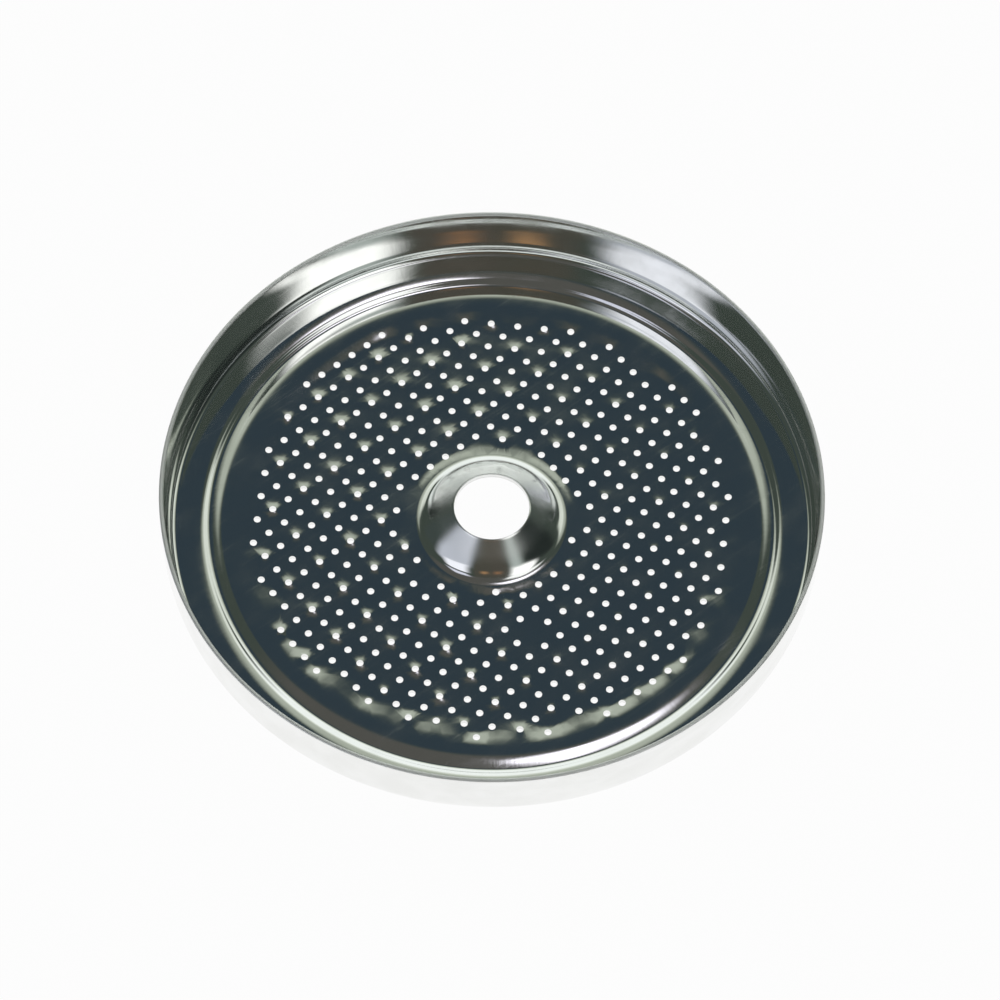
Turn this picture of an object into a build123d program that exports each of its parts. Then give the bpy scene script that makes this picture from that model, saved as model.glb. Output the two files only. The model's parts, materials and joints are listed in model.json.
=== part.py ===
from build123d import *

import os
from math import ceil, pi, radians, sin, sqrt, tan

# Espresso shower screen: a shallow perforated cup pressed from one thin stainless sheet.
# The origin is at the middle of the floor's underside, and +Z is the open side, which
# faces the brewing group. All sizes are in millimetres and degrees.

# Sheet
SHEET_THICKNESS = 0.4

# Upright wall, and the eased outside of the bend at its foot
OUTER_DIAMETER = 57.0
HEIGHT = 6.1
WALL_FOOT_EASE = 0.35

# Flat ledge inside the wall, and the sloped step from the ledge down to the floor
LEDGE_WIDTH = 3.6
STEP_HEIGHT = 0.8
STEP_SLOPE = 31.0

# Cone raised in the middle of the floor, hollow below for a countersunk screw head
SCREW_HOLE_DIAMETER = 6.5
CONE_HEIGHT = 2.25
CONE_SLOPE = 38.0

# Punched holes on a square grid, with the axis midway between four grid points
PUNCH_DIAMETER = 0.65
PUNCH_SIDES = 4
PUNCH_PITCH = 1.676
STEP_TO_FIELD = 2.15
CONE_TO_FIELD = 1.2

# Grid points punched outside the round field, and ones in it that were missed, in pitches from the axis
STRAY_PUNCHES = (
    (2.5, 12.5), (-2.5, 12.5), (2.5, -12.5), (-2.5, -12.5),
    (2.5, -3.5), (-2.5, -3.5), (-8.5, -9.5), (-5.5, -11.5),
)
MISSED_PUNCHES = ((-4.5, -0.5), (-2.5, -6.5), (-4.5, -11.5), (12.5, 1.5))

# Corners of the sheet's middle line, as radius and level
middle_radius = (OUTER_DIAMETER - SHEET_THICKNESS) / 2
floor_level = SHEET_THICKNESS / 2
ledge_level = floor_level + STEP_HEIGHT
step_top = middle_radius - LEDGE_WIDTH
step_foot = step_top - STEP_HEIGHT / tan(radians(STEP_SLOPE))
screw_hole_radius = SCREW_HOLE_DIAMETER / 2
cone_rise = tan(radians(CONE_SLOPE))
cone_foot = screw_hole_radius + CONE_HEIGHT / cone_rise


def pressed_sheet():
    """The cup before punching: the sheet's section turned about the axis, with the screw hole cut."""
    cone_tip = screw_hole_radius - SHEET_THICKNESS
    middle_line = Polyline(
        (cone_tip, floor_level + (cone_foot - cone_tip) * cone_rise),
        (cone_foot, floor_level),
        (step_foot, floor_level),
        (step_top, ledge_level),
        (middle_radius, ledge_level),
        (middle_radius, HEIGHT),
    )
    section = trace(middle_line, SHEET_THICKNESS)
    wall_foot = section.vertices().group_by(Axis.X)[-1].sort_by(Axis.Y)[0]
    section = chamfer(wall_foot, WALL_FOOT_EASE)
    return revolve(Plane.XZ * section, Axis.Z) - Cylinder(screw_hole_radius, 2 * HEIGHT)


def punch_places():
    """Centres of the punched holes, all on the flat of the floor."""
    field_inner = cone_foot + CONE_TO_FIELD
    field_outer = step_foot - STEP_TO_FIELD
    reach = ceil(step_foot / PUNCH_PITCH)
    grid_steps = [step + 0.5 for step in range(-reach, reach)]
    places = []
    for across in grid_steps:
        for along in grid_steps:
            place = Vector(across, along) * PUNCH_PITCH
            in_field = field_inner < place.length < field_outer
            on_floor = cone_foot + PUNCH_DIAMETER < place.length < step_foot - PUNCH_DIAMETER
            stray = (across, along) in STRAY_PUNCHES and on_floor
            missed = (across, along) in MISSED_PUNCHES
            if stray or in_field and not missed:
                places.append(place)
    return places


def punched(sheet):
    """The sheet with its holes: each is a prism with few sides and the round hole's area."""
    side_angle = 2 * pi / PUNCH_SIDES
    corner_radius = PUNCH_DIAMETER / 2 * sqrt(side_angle / sin(side_angle))
    outline = RegularPolygon(corner_radius, PUNCH_SIDES, rotation=180 / PUNCH_SIDES).face()
    through = Vector(0, 0, SHEET_THICKNESS)
    prisms = [Solid.extrude(outline.moved(Location(place)), through) for place in punch_places()]
    level_faces = sheet.faces().filter_by(Axis.Z)
    floor_faces = level_faces.sort_by(lambda face: face.inner_wires()[0].length)[:2]
    underside, topside = floor_faces.sort_by(Axis.Z)
    faces = [face for face in sheet.faces() if face not in (underside, topside)]
    for floor_face, end in ((underside, 0), (topside, -1)):
        cuts = [prism.faces().sort_by(Axis.Z)[end].outer_wire() for prism in prisms]
        faces.append(Face(floor_face.outer_wire(), floor_face.inner_wires() + cuts))
    for prism in prisms:
        faces.extend(prism.faces().filter_by(Axis.Z, reverse=True))
    return Solid(Shell(faces))


shower_screen = punched(pressed_sheet())

os.makedirs("parts", exist_ok=True)
export_step(shower_screen, "parts/shower_screen.step")
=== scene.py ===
import json
from math import ceil, cos, exp, hypot, pi, radians, sin
from random import Random

import bmesh
import bpy
from mathutils import Matrix, Vector
from mathutils.kdtree import KDTree


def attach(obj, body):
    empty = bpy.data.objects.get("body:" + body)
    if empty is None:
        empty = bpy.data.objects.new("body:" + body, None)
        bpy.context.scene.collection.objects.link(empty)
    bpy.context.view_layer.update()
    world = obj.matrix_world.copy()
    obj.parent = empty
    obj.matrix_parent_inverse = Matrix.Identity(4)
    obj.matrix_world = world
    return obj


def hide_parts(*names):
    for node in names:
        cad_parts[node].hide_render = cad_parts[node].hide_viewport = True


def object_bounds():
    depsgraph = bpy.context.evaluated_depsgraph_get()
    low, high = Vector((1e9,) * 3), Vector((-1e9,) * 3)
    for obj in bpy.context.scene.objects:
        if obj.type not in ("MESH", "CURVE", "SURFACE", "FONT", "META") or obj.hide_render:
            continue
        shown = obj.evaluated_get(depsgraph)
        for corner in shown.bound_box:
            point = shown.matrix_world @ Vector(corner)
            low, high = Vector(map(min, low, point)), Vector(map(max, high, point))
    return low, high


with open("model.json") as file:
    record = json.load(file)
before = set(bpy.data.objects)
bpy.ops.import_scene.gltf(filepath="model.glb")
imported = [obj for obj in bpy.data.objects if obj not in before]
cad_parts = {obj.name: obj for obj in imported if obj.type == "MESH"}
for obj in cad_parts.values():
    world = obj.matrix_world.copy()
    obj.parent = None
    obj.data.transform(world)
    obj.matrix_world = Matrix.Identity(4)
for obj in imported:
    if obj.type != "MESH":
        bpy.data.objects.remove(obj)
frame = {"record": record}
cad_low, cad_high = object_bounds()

# Espresso shower screen: one polished stainless sheet, pressed into a shallow perforated cup.
# The frame is in metres. Sizes below are in millimetres and degrees, and MM turns them into metres.
MM = 0.001

# Sheet, wall and screw hole; the frame gives what it holds
SHEET = 0.4
OUTER_RADIUS = cad_high.x / MM
HEIGHT = cad_high.z / MM
BORE = next(mount for mount in frame["record"]["mounts"] if mount["kind"] == "bore")
SCREW_HOLE_RADIUS = BORE["dims"]["r_mm"]

# Cut edges: corners of more than these angles are rounded, and edges from CREASE on are shaded sharp
SCREW_HOLE_EASE = 0.04
RIM_EASE = 0.15
EASE_SEGMENTS = 4
RIM_CORNER = 60.0
HOLE_CORNER = 50.0
CORNER_REACH = 0.01
CREASE = 38.0

# Steps of the turned sections, and the distance within which their points join those of the floor
TURN_STEPS = 192
MERGE_REACH = 0.0005

# Floor between the cone and the step: punching drew the field of holes down a little, and the plain
# edges along the cone and the step stayed higher
FLOOR_INNER = 6.7
FLOOR_OUTER = 22.05
INNER_SAG = 0.07
OUTER_SAG = 0.17
SAG_REACH = 2.6
SAG_FULL = 2.5
EDGE_INNER = 7.5
EDGE_OUTER = 20.7
FIELD_MIDDLE = 14.0
FLOOR_EDGE_STEPS = 3

# Step from the floor to the ledge: the sheet first dips into a shallow groove and then rises to the
# ledge, given as radii and the section's tilts there; no piece of it is longer than STEP_PIECE or turns
# by more than STEP_TURN
STEP_START = 22.85
STEP_TILTS = (
    (STEP_START, 0.0), (23.3, -3.0), (23.7, -11.0), (24.0, -6.0), (24.27, -4.5), (24.4, 7.0),
    (24.75, 29.0), (25.05, 12.0), (25.25, 7.5), (25.7, 5.0), (26.05, 0.0),
)
STEP_PIECE = 0.2
STEP_TURN = 3.0

# Wall: a tight bend from the ledge, then a wide one, and a wall that comes upright towards the rim
WALL_BEND = 0.6
WALL_BEND_STEPS = 10
WALL_TURN = 60.0
WALL_EASE = 2.0
WALL_EASE_STEPS = 8
WALL_DRAFTS = (1.6, 0.2)
WALL_STEPS = 6
STRAIGHT_END = 0.06

# Cone: a round hollow at its foot that opens into a straight flank, and a rounded lip at the hole
CONE_HOLLOW = 1.7
CONE_HOLLOW_SLOPE = 31.0
CONE_HOLLOW_STEPS = 12
CONE_EASE = 5.0
CONE_EASE_STEPS = 8
CONE_SLOPE = 39.0
CONE_LIP = 0.7
CONE_LIP_SLOPE = 20.0
CONE_LIP_STEPS = 4

# Punched holes on a square grid, with the axis midway between four grid points
PITCH = 1.676
HOLE_RADIUS = 0.313
HOLE_SIDES = 12
COLLAR_RADII = (0.36, 0.41, 0.47)
WEB_LENGTH = 0.5
FIELD_FROM = 7.33
FIELD_TO = 21.19
PATCH_ROOM = 0.75
PATCH_SIDES = 6
STRAY_PUNCHES = (
    (2.5, 12.5), (-2.5, 12.5), (2.5, -12.5), (-2.5, -12.5),
    (2.5, -3.5), (-2.5, -3.5), (-8.5, -9.5), (-5.5, -11.5),
)
MISSED_PUNCHES = ((-4.5, -0.5), (-2.5, -6.5), (-4.5, -11.5), (12.5, 1.5))

# Low swelling that the punch raised round each hole: one punch of the four in the tool was blunt, and
# all pressed harder towards one side of the screen
BLUNT_BURR = 0.058
SHARP_BURR = 0.004
BURR_WIDTH = 0.48
BURR_EDGE = 0.15
HARD_SIDE = (-0.78, 0.62)
HARD_FROM = -12.0
HARD_TO = 6.0
SOFT_SHARE = 0.4
TOOL_ROW = 2
BLUNT_PLACE = 1.5
BURR_SPREAD = (0.8, 1.2)
BURR_SEED = 5

# Finish of the steel: each pattern has its turn in degrees, its waves per millimetre and its detail;
# depths are in millimetres
RIPPLE = (0.0, (0.11, 0.11, 0.11), 1.0)
RIPPLE_DEPTH = 0.012
STREAKS = (8.0, (0.12, 5.0, 5.0), 3.0)
STREAK_DEPTH = 0.0002
STREAK_ROUGHNESS = 0.03
DRAW_MARKS = (0.0, (3.5, 3.5, 3.5), 2.0)
DRAW_MARK_RADIUS = 26.0
DRAW_MARK_RUN = 0.06
DRAW_MARK_DEPTH = 0.0009
DRAWN_FROM = 22.5
DRAWN_TO = 24.0
HAZE = (30.0, (0.25, 0.4, 0.4), 4.0)
SCRATCHES = ((52.0, (0.1, 4.0, 4.0), 0.0), (-21.0, (0.08, 3.0, 3.0), 0.0))
SCRATCH_LEVELS = ((0.72, 0.78), (0.73, 0.79))
SCRATCH_DEPTH = 0.00005
SCRATCH_ROUGHNESS = 0.03
ROUGH_HAZE = (0.35, 0.75)
POLISH_ROUGHNESS = (0.045, 0.11)
CUT_EDGE_ROUGHNESS = 0.5
CONE_ROUGHNESS = 0.22
CONE_DULL_TO = 4.2
CONE_BRIGHT_FROM = 6.0
DULL_HAZE = (0.3, 0.7)
BRIGHT_STEEL = (0.90, 0.905, 0.895, 1.0)
DULL_STEEL = (0.86, 0.865, 0.85, 1.0)

# Places of the colour sockets on a mix node
MIX_FIRST = 6
MIX_SECOND = 7
MIX_RESULT = 2

# White table, with its reach from the middle to either side
TABLE_REACH = 900.0
TABLE_COLOUR = (0.8, 0.8, 0.8, 1.0)
TABLE_GLOW = 0.97
WHITE = (1.0, 1.0, 1.0, 1.0)

# Camera, at the photograph's angle
CAMERA_PLACE = (-127.347, -156.942, 339.252)
CAMERA_RIGHT = (0.78318, -0.62174, 0.00851)
CAMERA_UP = (0.52915, 0.67360, 0.51600)
CAMERA_LENS = 164.0
CAMERA_SENSOR = 36.0
CAMERA_TURN = -39.254
CAMERA_NEAR = 10.0

# Room that the steel mirrors: bearings from straight behind the screen, to the right, and heights
# above the horizon, both in degrees and each with the softness of its ends, then the colour
ROOM_COLOUR = (0.05, 0.064, 0.054)
OVERHEAD = ((-200, 200, 5), (66, 100, 3), (0.085, 0.085, 0.077))
OVERHEAD_LAMP = ((7, 55, 4), (70, 82, 2), (1.5, 1.46, 1.6))
BACK_WALL = ((-42, 62, 5), (25, 53.5, 3), (0.42, 0.46, 0.39))
BACK_MIDDLE = ((-42, 62, 5), (25, 45, 3), (0.72, 0.77, 0.69))
BACK_LOW = ((-25, 25, 5), (8, 40, 2), (0.95, 1.0, 0.97))
DARK_CEILING = ((-24, 22, 2), (55.5, 65.5, 2), (0.029, 0.045, 0.058))
LEFT_CURTAIN = ((-92, -66, 6), (-5, 36, 6), (0.05, 0.065, 0.06))
RIGHT_CURTAIN = ((76, 126, 8), (6, 42, 6), (0.02, 0.026, 0.024))
FRONT_LEFT = ((-200, -152, 5), (26, 66, 4), (0.07, 0.068, 0.055))
FRONT_RIGHT = ((152, 200, 5), (26, 66, 4), (0.075, 0.07, 0.058))
FRONT_LOW_LEFT = ((-200, -120, 5), (8, 24, 2), (0.85, 0.90, 0.88))
FRONT_LOW_RIGHT = ((120, 200, 5), (8, 24, 2), (0.85, 0.90, 0.88))
LEFT_WINDOW_LOW = ((-147, -94, 8), (18, 44, 5), (0.52, 0.55, 0.62))
LEFT_WINDOW = ((-142, -106, 8), (41, 56.2, 1.2), (1.0, 1.02, 1.1))
LEFT_SKYLIGHT = ((-136, -96, 7), (62, 72, 1.5), (0.72, 0.74, 0.86))
RIGHT_SKYLIGHT = ((84, 142, 7), (60, 78, 4), (1.12, 1.14, 1.13))
RIGHT_WINDOW = ((108, 146, 7), (42, 62, 3), (1.35, 1.36, 1.34))
RIGHT_WINDOW_LOW = ((130, 148, 7), (18, 44, 4), (0.42, 0.47, 0.45))
ORANGE_LEFT = ((-174, -165, 6), (49, 53.6, 1.2), (0.44, 0.25, 0.12))
ORANGE_RIGHT = ((164, 173, 6), (49, 53.6, 1.2), (0.34, 0.18, 0.09))
ROOM_PATCHES = (
    OVERHEAD, OVERHEAD_LAMP, BACK_WALL, BACK_MIDDLE, BACK_LOW, DARK_CEILING, LEFT_CURTAIN,
    RIGHT_CURTAIN, FRONT_LEFT, FRONT_RIGHT, FRONT_LOW_LEFT, FRONT_LOW_RIGHT, LEFT_WINDOW_LOW,
    LEFT_WINDOW, LEFT_SKYLIGHT, RIGHT_SKYLIGHT, RIGHT_WINDOW, RIGHT_WINDOW_LOW, ORANGE_LEFT,
    ORANGE_RIGHT,
)


def smooth_step(low, high, value):
    """0 below low, 1 above high, and an even rise between them."""
    share = min(max((value - low) / (high - low), 0.0), 1.0)
    return share * share * (3.0 - 2.0 * share)


def sag(radius):
    """How far the field of holes lies below the plain edges of the floor."""
    return INNER_SAG + (OUTER_SAG - INNER_SAG) * smooth_step(FLOOR_INNER, FLOOR_OUTER, radius)


def floor_level(radius, coverage):
    """Upper face of the floor before the swellings: low where holes cover it, higher at its edges."""
    inner_share = smooth_step(FLOOR_INNER, EDGE_INNER, radius)
    outer_share = 1.0 - smooth_step(EDGE_OUTER, STEP_START, radius)
    if radius < FIELD_MIDDLE:
        return SHEET + sag(radius) * (1.0 - inner_share)
    return SHEET + sag(radius) * (1.0 - coverage * outer_share)


def grid_points():
    """All grid points of the punching tool in a square round the floor, in pitches from the axis."""
    reach = int(FLOOR_OUTER / PITCH) + 1
    steps = [step + 0.5 for step in range(-reach, reach)]
    return [(across, along) for across in steps for along in steps]


def is_in_field(point):
    """Whether a grid point lies in the round field, or has a stray punch outside it."""
    return point in STRAY_PUNCHES or FIELD_FROM < hypot(*point) * PITCH < FIELD_TO


def draw_run(mesh, pen, length, heading):
    """Draws a straight run of the section from the pen's vertex, and gives the vertex at its end."""
    end = bmesh.ops.extrude_vert_indiv(mesh, verts=[pen])["verts"][0]
    end.co += Vector((cos(heading), 0.0, sin(heading))) * length * MM
    return end


def draw_straight(mesh, pen, length, heading):
    """Draws a straight run with a short piece at either end, which keeps the run's shading straight."""
    for share in (STRAIGHT_END, length - 2 * STRAIGHT_END, STRAIGHT_END):
        pen = draw_run(mesh, pen, share, heading)
    return pen


def draw_bend(mesh, pen, bend_radius, heading, new_heading, steps):
    """Draws a round bend of the section, to the left or to the right, and gives the vertex at its end."""
    bend = new_heading - heading
    side = 1.0 if bend > 0.0 else -1.0
    centre = pen.co + Vector((-sin(heading), 0.0, cos(heading))) * side * bend_radius * MM
    arc = bmesh.ops.spin(mesh, geom=[pen], cent=centre, axis=(0, -1, 0), angle=bend, steps=steps)
    return next(item for item in arc["geom_last"] if isinstance(item, bmesh.types.BMVert))


def turn_section(mesh, edges):
    """Turns a drawn section about the screen's axis."""
    verts = list({vert for edge in edges for vert in edge.verts})
    bmesh.ops.spin(
        mesh, geom=verts + edges, cent=(0, 0, 0), axis=(0, 0, 1),
        angle=2 * pi, steps=TURN_STEPS, use_merge=True,
    )


def draw_step(mesh, pen):
    """Draws the groove and the rise to the ledge in short pieces, each at its own tilt."""
    for (start, tilt), (end, next_tilt) in zip(STEP_TILTS, STEP_TILTS[1:]):
        pieces = ceil(max((end - start) / STEP_PIECE, abs(next_tilt - tilt) / STEP_TURN))
        for piece in range(pieces):
            heading = radians(tilt + (next_tilt - tilt) * (piece + 0.5) / pieces)
            pen = draw_run(mesh, pen, (end - start) / pieces / cos(heading), heading)
    return pen


def press_rim(mesh):
    """The floor's plain edge, the step, the ledge and the wall, drawn outwards and up to the rim."""
    before = set(mesh.edges)
    pen = mesh.verts.new((FLOOR_OUTER * MM, 0.0, (SHEET + OUTER_SAG) * MM))
    for step in range(FLOOR_EDGE_STEPS):
        pen = draw_run(mesh, pen, (STEP_START - FLOOR_OUTER) / FLOOR_EDGE_STEPS, 0.0)
    pen = draw_step(mesh, pen)
    foot, top = (radians(90.0 - draft) for draft in WALL_DRAFTS)
    turn = radians(WALL_TURN)
    bend_width = WALL_BEND * sin(turn) + WALL_EASE * (sin(foot) - sin(turn))
    bend_rise = WALL_BEND * (1.0 - cos(turn)) + WALL_EASE * (cos(turn) - cos(foot))
    wall_rise = HEIGHT - pen.co.z / MM - bend_rise - RIM_EASE * sin(top)
    wall_curve = wall_rise / (cos(foot) - cos(top))
    wall_lean = wall_curve * (sin(top) - sin(foot)) + RIM_EASE * cos(top)
    ledge_end = OUTER_RADIUS - SHEET - wall_lean - bend_width
    pen = draw_straight(mesh, pen, ledge_end - pen.co.x / MM, 0.0)
    pen = draw_bend(mesh, pen, WALL_BEND, 0.0, turn, WALL_BEND_STEPS)
    pen = draw_bend(mesh, pen, WALL_EASE, turn, foot, WALL_EASE_STEPS)
    pen = draw_bend(mesh, pen, wall_curve, foot, top, WALL_STEPS)
    draw_run(mesh, pen, RIM_EASE, top)
    turn_section(mesh, [edge for edge in mesh.edges if edge not in before])


def press_cone(mesh):
    """The raised cone, drawn from the floor's inner edge inwards and up to the screw hole."""
    before = set(mesh.edges)
    hollow_slope = pi - radians(CONE_HOLLOW_SLOPE)
    slope = radians(CONE_SLOPE)
    lip_slope = radians(CONE_LIP_SLOPE)
    pen = mesh.verts.new((FLOOR_INNER * MM, 0.0, (SHEET + INNER_SAG) * MM))
    pen = draw_bend(mesh, pen, CONE_HOLLOW, pi, hollow_slope, CONE_HOLLOW_STEPS)
    pen = draw_bend(mesh, pen, CONE_EASE, hollow_slope, pi - slope, CONE_EASE_STEPS)
    lip_width = CONE_LIP * (sin(slope) - sin(lip_slope))
    flank_width = pen.co.x / MM - SCREW_HOLE_RADIUS - lip_width
    pen = draw_straight(mesh, pen, flank_width / cos(slope), pi - slope)
    draw_bend(mesh, pen, CONE_LIP, pi - slope, pi - lip_slope, CONE_LIP_STEPS)
    turn_section(mesh, [edge for edge in mesh.edges if edge not in before])


def hole_collar(mesh):
    """One round hole at the axis with a flat collar of sheet; gives its parts and its outer edges."""
    ring = bmesh.ops.create_circle(mesh, segments=HOLE_SIDES, radius=HOLE_RADIUS * MM)
    verts = ring["verts"]
    edges = list({edge for vert in verts for edge in vert.link_edges})
    parts = verts + edges
    radius = HOLE_RADIUS
    for next_radius in COLLAR_RADII:
        grown = bmesh.ops.extrude_edge_only(mesh, edges=edges)["geom"]
        verts = [part for part in grown if isinstance(part, bmesh.types.BMVert)]
        edges = [part for part in grown if isinstance(part, bmesh.types.BMEdge) and part.is_boundary]
        bmesh.ops.scale(mesh, vec=(next_radius / radius, next_radius / radius, 1.0), verts=verts)
        parts.extend(grown)
        radius = next_radius
    parts = list(set(parts) | {edge for part in verts for edge in part.link_edges})
    return parts, edges


def blank_patch(mesh):
    """A patch of plain sheet at the axis, for grid points without a hole; its parts and outer edges."""
    disc = bmesh.ops.create_circle(
        mesh, cap_ends=True, cap_tris=True, segments=PATCH_SIDES, radius=HOLE_RADIUS * MM,
    )
    verts = disc["verts"]
    edges = list({edge for vert in verts for edge in vert.link_edges})
    faces = list({face for vert in verts for face in vert.link_faces})
    return verts + edges + faces, [edge for edge in edges if edge.is_boundary]


def set_at(mesh, pattern, point):
    """Copies a collar or a patch to a grid point; gives the copy's outer edges."""
    parts, outline = pattern
    copy = bmesh.ops.duplicate(mesh, geom=parts)
    verts = [part for part in copy["geom"] if isinstance(part, bmesh.types.BMVert)]
    bmesh.ops.translate(mesh, vec=Vector((*point, 0.0)) * PITCH * MM, verts=verts)
    return [copy["edge_map"][edge] for edge in outline]


def punch_floor(data):
    """The punched floor, still flat: collars and plain patches, and the sheet between them."""
    mesh = bmesh.new()
    outline = []
    for radius in (FLOOR_INNER, FLOOR_OUTER):
        verts = bmesh.ops.create_circle(mesh, segments=TURN_STEPS, radius=radius * MM)["verts"]
        outline.extend({edge for vert in verts for edge in vert.link_edges})
    collar = hole_collar(mesh)
    patch = blank_patch(mesh)
    for point in grid_points():
        if is_in_field(point) and point not in MISSED_PUNCHES:
            outline.extend(set_at(mesh, collar, point))
        elif FLOOR_INNER + PATCH_ROOM < hypot(*point) * PITCH < FLOOR_OUTER - PATCH_ROOM:
            outline.extend(set_at(mesh, patch, point))
    for pattern in (collar, patch):
        verts = [part for part in pattern[0] if isinstance(part, bmesh.types.BMVert)]
        bmesh.ops.delete(mesh, geom=verts, context="VERTS")
    bmesh.ops.triangle_fill(mesh, use_beauty=True, edges=outline, normal=(0, 0, 1))
    webs = [edge for edge in mesh.edges if not edge.is_boundary]
    long_edges = [edge for edge in webs if edge.calc_length() > WEB_LENGTH * MM]
    bmesh.ops.subdivide_edges(mesh, edges=long_edges, cuts=1)
    for vert in mesh.verts:
        vert.co.z = floor_level(hypot(vert.co.x, vert.co.y) / MM, 0.0) * MM
    mesh.to_mesh(data)
    mesh.free()


def swelling(point, draw):
    """Height of the swelling round the hole at a grid point."""
    if point in MISSED_PUNCHES:
        return 0.0
    blunt = point[0] % TOOL_ROW == BLUNT_PLACE and point[1] % TOOL_ROW == BLUNT_PLACE
    towards_hard = (point[0] * HARD_SIDE[0] + point[1] * HARD_SIDE[1]) * PITCH
    hardness = SOFT_SHARE + (1.0 - SOFT_SHARE) * smooth_step(HARD_FROM, HARD_TO, towards_hard)
    return (BLUNT_BURR if blunt else SHARP_BURR) * hardness * draw.uniform(*BURR_SPREAD)


def shape_floor(mesh):
    """Draws the field of holes down, and raises the swelling round each hole."""
    draw = Random(BURR_SEED)
    points = [point for point in grid_points() if is_in_field(point)]
    swellings = [swelling(point, draw) for point in points]
    places = KDTree(len(points))
    for index, point in enumerate(points):
        places.insert(Vector((*point, 0.0)) * PITCH, index)
    places.balance()
    for vert in mesh.verts:
        spot = Vector((vert.co.x, vert.co.y, 0.0)) / MM
        if FLOOR_INNER < spot.length < STEP_START:
            coverage = 0.0
            raised = 0.0
            for place, index, distance in places.find_range(spot, SAG_REACH):
                coverage += (1.0 - (distance / SAG_REACH) ** 2) ** 2 / SAG_FULL
                raised += swellings[index] * exp(-((distance - BURR_EDGE) / BURR_WIDTH) ** 2)
            vert.co.z = (floor_level(spot.length, coverage) + raised) * MM


def shower_screen():
    """The whole screen as one sheet: its upper face first, then its thickness and its cut edges."""
    data = bpy.data.meshes.new("shower_screen_sheet")
    punch_floor(data)
    mesh = bmesh.new()
    press_rim(mesh)
    press_cone(mesh)
    mesh.from_mesh(data)
    bmesh.ops.remove_doubles(mesh, verts=mesh.verts, dist=MERGE_REACH * MM)
    shape_floor(mesh)
    bmesh.ops.recalc_face_normals(mesh, faces=mesh.faces)
    if sum(face.normal.z * face.calc_area() for face in mesh.faces) < 0.0:
        bmesh.ops.reverse_faces(mesh, faces=mesh.faces)
    bmesh.ops.solidify(mesh, geom=mesh.faces[:], thickness=SHEET * MM)
    ease_edges(mesh)
    for face in mesh.faces:
        face.smooth = True
    for edge in mesh.edges:
        edge.smooth = edge.calc_face_angle(0.0) < radians(CREASE)
    mesh.to_mesh(data)
    mesh.free()
    piece = bpy.data.objects.new("shower_screen_sheet", data)
    bpy.context.scene.collection.objects.link(piece)
    return piece


def ease_edges(mesh):
    """Trues the screw hole's wall, and rounds the rim and the edge of the hole as tumbling does."""
    for vert in mesh.verts:
        radius = hypot(vert.co.x, vert.co.y)
        if radius < SCREW_HOLE_RADIUS * MM:
            vert.co.x *= SCREW_HOLE_RADIUS * MM / radius
            vert.co.y *= SCREW_HOLE_RADIUS * MM / radius
    rim_level = (HEIGHT - CORNER_REACH) * MM
    hole_reach = (SCREW_HOLE_RADIUS + CORNER_REACH) * MM
    rim = [
        edge for edge in mesh.edges
        if edge.calc_face_angle(0.0) > radians(RIM_CORNER)
        and min(vert.co.z for vert in edge.verts) > rim_level
    ]
    hole = [
        edge for edge in mesh.edges
        if edge.calc_face_angle(0.0) > radians(HOLE_CORNER)
        and max(hypot(vert.co.x, vert.co.y) for vert in edge.verts) < hole_reach
    ]
    for edges, ease in ((rim, RIM_EASE), (hole, SCREW_HOLE_EASE)):
        bmesh.ops.bevel(
            mesh, geom=edges, offset=ease * MM, affect="EDGES", segments=EASE_SEGMENTS, profile=0.5,
            material=-1,
        )


def feed(tree, socket, value):
    """Sets a socket to a value, or links another socket to it."""
    if isinstance(value, bpy.types.NodeSocket):
        tree.links.new(value, socket)
    else:
        socket.default_value = value


def reckon(tree, operation, *values):
    """A sum, product or other plain operation on numbers."""
    node = tree.nodes.new("ShaderNodeMath")
    node.operation = operation
    for socket, value in zip(node.inputs, values):
        feed(tree, socket, value)
    return node.outputs[0]


def remap(tree, value, low, high, to_low=0.0, to_high=1.0):
    """A smooth change from to_low to to_high while the value goes from low to high."""
    node = tree.nodes.new("ShaderNodeMapRange")
    node.interpolation_type = "SMOOTHSTEP"
    for name, entry in (("Value", value), ("From Min", low), ("From Max", high),
                        ("To Min", to_low), ("To Max", to_high)):
        feed(tree, node.inputs[name], entry)
    return node.outputs["Result"]


def between(tree, value, low, high, soft):
    """1 while the value is between low and high, with soft ends."""
    rise = remap(tree, value, low - soft, low + soft)
    fall = remap(tree, value, high - soft, high + soft, 1.0, 0.0)
    return reckon(tree, "MULTIPLY", rise, fall)


def mix_colours(tree, share, first, second):
    """Goes from the first colour to the second as the share goes from 0 to 1."""
    node = tree.nodes.new("ShaderNodeMix")
    node.data_type = "RGBA"
    feed(tree, node.inputs["Factor"], share)
    feed(tree, node.inputs[MIX_FIRST], first)
    feed(tree, node.inputs[MIX_SECOND], second)
    return node.outputs[MIX_RESULT]


def stretched_noise(tree, vector, turn, stretch, detail):
    """Noise on a turned and stretched grid, with the stretch in waves per millimetre."""
    mapping = tree.nodes.new("ShaderNodeMapping")
    feed(tree, mapping.inputs["Vector"], vector)
    mapping.inputs["Rotation"].default_value = (0.0, 0.0, radians(turn))
    mapping.inputs["Scale"].default_value = [waves / MM for waves in stretch]
    noise = tree.nodes.new("ShaderNodeTexNoise")
    noise.inputs["Scale"].default_value = 1.0
    noise.inputs["Detail"].default_value = detail
    feed(tree, noise.inputs["Vector"], mapping.outputs["Vector"])
    return noise.outputs["Fac"]


def add_relief(tree, bump_before, height, depth):
    """Adds a relief of the given depth in millimetres to the surface's normal."""
    bump = tree.nodes.new("ShaderNodeBump")
    bump.inputs["Strength"].default_value = 1.0
    bump.inputs["Distance"].default_value = depth * MM
    feed(tree, bump.inputs["Height"], height)
    if bump_before is not None:
        feed(tree, bump.inputs["Normal"], bump_before)
    return bump.outputs["Normal"]


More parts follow.
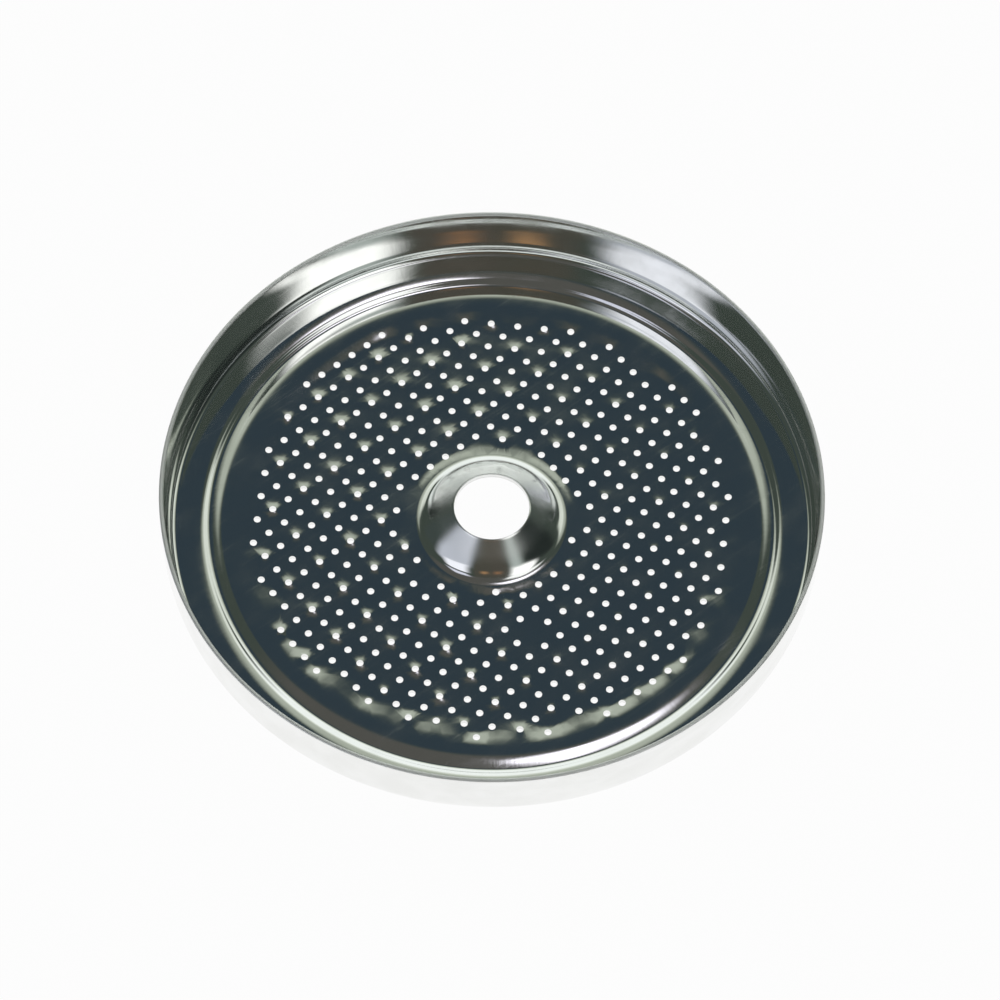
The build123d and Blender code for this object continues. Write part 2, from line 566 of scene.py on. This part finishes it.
def polished_steel():
    """Mirror polished stainless sheet: rolling streaks, draw marks, scratches, haze, a dull cut edge."""
    material = bpy.data.materials.new("polished_steel")
    material.use_nodes = True
    tree = material.node_tree
    shader = tree.nodes["Principled BSDF"]
    place = tree.nodes.new("ShaderNodeTexCoord").outputs["Object"]
    axes = tree.nodes.new("ShaderNodeSeparateXYZ")
    feed(tree, axes.inputs[0], place)
    across, along, level = axes.outputs["X"], axes.outputs["Y"], axes.outputs["Z"]
    squares = [reckon(tree, "POWER", side, 2.0) for side in (across, along)]
    radius = reckon(tree, "SQRT", reckon(tree, "ADD", *squares))
    spoke = tree.nodes.new("ShaderNodeCombineXYZ")
    for name, side in (("X", across), ("Y", along)):
        share = reckon(tree, "DIVIDE", side, radius)
        feed(tree, spoke.inputs[name], reckon(tree, "MULTIPLY", share, DRAW_MARK_RADIUS * MM))
    feed(tree, spoke.inputs["Z"], reckon(tree, "MULTIPLY", radius, DRAW_MARK_RUN))

    streaks = stretched_noise(tree, place, *STREAKS)
    ripple = stretched_noise(tree, place, *RIPPLE)
    draw_marks = stretched_noise(tree, spoke.outputs["Vector"], *DRAW_MARKS)
    haze = stretched_noise(tree, place, *HAZE)
    first_scratches, second_scratches = (
        remap(tree, stretched_noise(tree, place, *pattern), *levels)
        for pattern, levels in zip(SCRATCHES, SCRATCH_LEVELS)
    )
    scratches = reckon(tree, "MAXIMUM", first_scratches, second_scratches)
    drawn = remap(tree, radius, DRAWN_FROM * MM, DRAWN_TO * MM)
    marks = reckon(tree, "MULTIPLY", draw_marks, drawn)

    normal = add_relief(tree, None, ripple, RIPPLE_DEPTH)
    normal = add_relief(tree, normal, streaks, STREAK_DEPTH)
    normal = add_relief(tree, normal, marks, DRAW_MARK_DEPTH)
    normal = add_relief(tree, normal, reckon(tree, "MULTIPLY", scratches, -1.0), SCRATCH_DEPTH)
    feed(tree, shader.inputs["Normal"], normal)

    rough = remap(tree, haze, *ROUGH_HAZE, *POLISH_ROUGHNESS)
    rough = reckon(tree, "ADD", rough, reckon(tree, "MULTIPLY", streaks, STREAK_ROUGHNESS))
    rough = reckon(tree, "ADD", rough, reckon(tree, "MULTIPLY", scratches, SCRATCH_ROUGHNESS))
    cut_from = (HEIGHT - RIM_EASE) * MM
    cut_to = (HEIGHT - RIM_EASE / 2) * MM
    cut_edge = remap(tree, level, cut_from, cut_to, 0.0, CUT_EDGE_ROUGHNESS)
    cone_haze = remap(tree, radius, CONE_DULL_TO * MM, CONE_BRIGHT_FROM * MM, CONE_ROUGHNESS, 0.0)
    rough = reckon(tree, "MAXIMUM", rough, reckon(tree, "MAXIMUM", cut_edge, cone_haze))
    feed(tree, shader.inputs["Roughness"], rough)
    colour = mix_colours(tree, remap(tree, haze, *DULL_HAZE), BRIGHT_STEEL, DULL_STEEL)
    feed(tree, shader.inputs["Base Color"], colour)
    shader.inputs["Metallic"].default_value = 1.0
    return material


def seen_directly(tree):
    """1 for what the camera sees itself or by reflection and through openings, 0 for scattered light."""
    path = tree.nodes.new("ShaderNodeLightPath")
    seen = reckon(tree, "MAXIMUM", path.outputs["Is Camera Ray"], path.outputs["Is Glossy Ray"])
    return reckon(tree, "MAXIMUM", seen, path.outputs["Is Transmission Ray"])


def table_top():
    """White table under the screen, plain enough to read as the background, with a faint shadow."""
    mesh = bmesh.new()
    bmesh.ops.create_grid(mesh, x_segments=1, y_segments=1, size=TABLE_REACH * MM)
    data = bpy.data.meshes.new("table_top")
    mesh.to_mesh(data)
    mesh.free()
    table = bpy.data.objects.new("table_top", data)
    bpy.context.scene.collection.objects.link(table)
    material = bpy.data.materials.new("white_table")
    material.use_nodes = True
    tree = material.node_tree
    tree.nodes.clear()
    plain = tree.nodes.new("ShaderNodeBsdfDiffuse")
    plain.inputs["Color"].default_value = TABLE_COLOUR
    glow = tree.nodes.new("ShaderNodeEmission")
    glow.inputs["Color"].default_value = WHITE
    glow.inputs["Strength"].default_value = 1.0
    mix = tree.nodes.new("ShaderNodeMixShader")
    feed(tree, mix.inputs["Fac"], reckon(tree, "MULTIPLY", seen_directly(tree), TABLE_GLOW))
    feed(tree, mix.inputs[1], plain.outputs["BSDF"])
    feed(tree, mix.inputs[2], glow.outputs["Emission"])
    output = tree.nodes.new("ShaderNodeOutputMaterial")
    feed(tree, output.inputs["Surface"], mix.outputs["Shader"])
    data.materials.append(material)


def lit_patch(tree, room, bearing, height, patch):
    """Lays one lit or dark part of the room over the rest, with soft edges."""
    bearings, heights, colour = patch
    share = reckon(tree, "MULTIPLY", between(tree, bearing, *bearings), between(tree, height, *heights))
    return mix_colours(tree, share, room, (*colour, 1.0))


def studio():
    """The room round the table, which the polished sheet mirrors."""
    world = bpy.data.worlds.new("studio")
    bpy.context.scene.world = world
    world.use_nodes = True
    tree = world.node_tree
    tree.nodes.clear()
    turn = tree.nodes.new("ShaderNodeMapping")
    turn.inputs["Rotation"].default_value = (0.0, 0.0, -radians(CAMERA_TURN))
    feed(tree, turn.inputs["Vector"], tree.nodes.new("ShaderNodeTexCoord").outputs["Generated"])
    axes = tree.nodes.new("ShaderNodeSeparateXYZ")
    feed(tree, axes.inputs[0], turn.outputs["Vector"])
    right, away, up = axes.outputs["X"], axes.outputs["Y"], axes.outputs["Z"]
    bearing = reckon(tree, "DEGREES", reckon(tree, "ARCTAN2", right, away))
    height = reckon(tree, "DEGREES", reckon(tree, "ARCSINE", up))

    room = (*ROOM_COLOUR, 1.0)
    for patch in ROOM_PATCHES:
        room = lit_patch(tree, room, bearing, height, patch)

    path = tree.nodes.new("ShaderNodeLightPath")
    seen = mix_colours(tree, path.outputs["Is Camera Ray"], room, WHITE)
    background = tree.nodes.new("ShaderNodeBackground")
    feed(tree, background.inputs["Color"], seen)
    background.inputs["Strength"].default_value = 1.0
    output = tree.nodes.new("ShaderNodeOutputWorld")
    feed(tree, output.inputs["Surface"], background.outputs["Background"])


def camera():
    """A long lens at the photograph's angle."""
    data = bpy.data.cameras.new("camera")
    data.lens = CAMERA_LENS
    data.sensor_width = CAMERA_SENSOR
    data.clip_start = CAMERA_NEAR * MM
    eye = bpy.data.objects.new("camera", data)
    bpy.context.scene.collection.objects.link(eye)
    right = Vector(CAMERA_RIGHT).normalized()
    up = Vector(CAMERA_UP).normalized()
    facing = Matrix((right, up, right.cross(up))).transposed()
    eye.matrix_world = Matrix.Translation(Vector(CAMERA_PLACE) * MM) @ facing.to_4x4()
    bpy.context.scene.camera = eye


screen = shower_screen()
screen.data.materials.append(polished_steel())
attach(screen, "root")
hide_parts("shower_screen")

table_top()
studio()
camera()
bpy.context.scene.view_settings.view_transform = "Standard"
